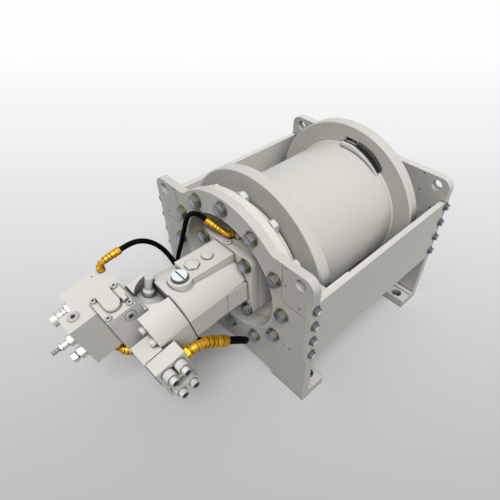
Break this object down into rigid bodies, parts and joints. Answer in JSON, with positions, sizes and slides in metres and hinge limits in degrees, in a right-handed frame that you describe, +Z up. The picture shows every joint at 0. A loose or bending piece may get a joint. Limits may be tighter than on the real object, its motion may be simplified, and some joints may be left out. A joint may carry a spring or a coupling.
{
  "type": "hydraulic rope winch",
  "caption": "Hydraulic rope winch with a flanged drum between two end plates, a planetary gearbox and brake inside the drum, and a flange-mounted motor with valve block and hoses.",
  "frame": {"origin": "floor level at the middle of the four foot bolts", "axes": "+Z up, +Y along the drum from the motor end to the far end, +X to the right as seen from the motor end"},
  "size_m": [0.602, 1.0415, 0.545],
  "materials": {
    "frame_paint": "satin light grey coat",
    "zinc_steel": "zinc plated",
    "bright_steel": "machined bright",
    "painted_trim": "satin light grey coat",
    "wear_plastic": "dull black",
    "bearing_steel": "ground",
    "carrier_iron": "as cast",
    "spring_steel": "oiled",
    "friction_disc": "dull friction facing",
    "hose_rubber": "smooth black cover",
    "yellow_zinc": "yellow passivated zinc"
  },
  "bodies": {
    "frame": {"block_plugs": "painted_trim", "brake_hose": "hose_rubber", "brake_hose_brake_fitting": "yellow_zinc", "brake_hose_valve_fitting": "yellow_zinc", "brake_housing": "frame_paint", "brake_piston": "carrier_iron", "brake_springs": "spring_steel", "brake_stator_discs": "spring_steel", "cap_screws": "zinc_steel", "counterbalance_cartridge": "bright_steel", "drain_hose": "hose_rubber", "drain_hose_block_fitting": "yellow_zinc", "drain_hose_valve_fitting": "yellow_zinc", "drain_plug": "bright_steel", "flange_guides": "painted_trim", "flange_pads": "wear_plastic", "foot_front_left": "frame_paint", "foot_front_right": "frame_paint", "foot_rear_left": "frame_paint", "foot_rear_right": "frame_paint", "front_bearing": "bearing_steel", "front_plate": "frame_paint", "gearbox_housing": "frame_paint", "hub_cover": "frame_paint", "left_side_sheet": "frame_paint", "manifold": "frame_paint", "motor_housing": "frame_paint", "motor_plugs": "painted_trim", "motor_screws": "zinc_steel", "planet_carrier": "carrier_iron", "planet_pins": "bearing_steel", "port_block": "frame_paint", "port_flange": "painted_trim", "port_flange_screws": "zinc_steel", "port_plate": "frame_paint", "port_plate_screws": "zinc_steel", "rear_bearing": "bearing_steel", "rear_hub": "frame_paint", "rear_plate": "frame_paint", "rear_screws": "zinc_steel", "relief_cartridge": "bright_steel", "right_side_sheet": "frame_paint", "ring_nuts": "zinc_steel", "ring_screws": "zinc_steel", "sheet_screws": "zinc_steel", "shuttle_cartridge": "bright_steel", "stop_screw": "bright_steel", "valve_block": "frame_paint", "valve_cap": "frame_paint"},
    "drum": {"drum": "frame_paint", "rope_wedge": "painted_trim", "rope_clamp": "frame_paint", "rope_clamp_screws": "zinc_steel", "ring_gear": "bearing_steel"},
    "sun": {"sun_shaft": "bearing_steel", "brake_rotor_discs": "friction_disc"},
    "planet_1": {"planet_gear_1": "bearing_steel"},
    "planet_2": {"planet_gear_2": "bearing_steel"},
    "planet_3": {"planet_gear_3": "bearing_steel"}
  },
  "joints": [
    {"name": "drum_spin", "type": "hinge", "parent": "frame", "child": "drum", "pos_m": [0, 0, 0.295], "axis": [0, 1, 0], "continuous": true},
    {"name": "sun_spin", "type": "hinge", "parent": "frame", "child": "sun", "pos_m": [0, -0.083, 0.295], "axis": [0, 1, 0], "continuous": true},
    {"name": "planet_1_spin", "type": "hinge", "parent": "frame", "child": "planet_1", "pos_m": [0, -0.083, 0.3925], "axis": [0, 1, 0], "continuous": true},
    {"name": "planet_2_spin", "type": "hinge", "parent": "frame", "child": "planet_2", "pos_m": [0.08444, -0.083, 0.24625], "axis": [0, 1, 0], "continuous": true},
    {"name": "planet_3_spin", "type": "hinge", "parent": "frame", "child": "planet_3", "pos_m": [-0.08444, -0.083, 0.24625], "axis": [0, 1, 0], "continuous": true}
  ],
  "couplings": [
    {"joint": "sun_spin", "follows": "drum_spin", "ratio": -3.3333},
    {"joint": "planet_1_spin", "follows": "drum_spin", "ratio": 2.8571},
    {"joint": "planet_2_spin", "follows": "drum_spin", "ratio": 2.8571},
    {"joint": "planet_3_spin", "follows": "drum_spin", "ratio": 2.8571}
  ]
}
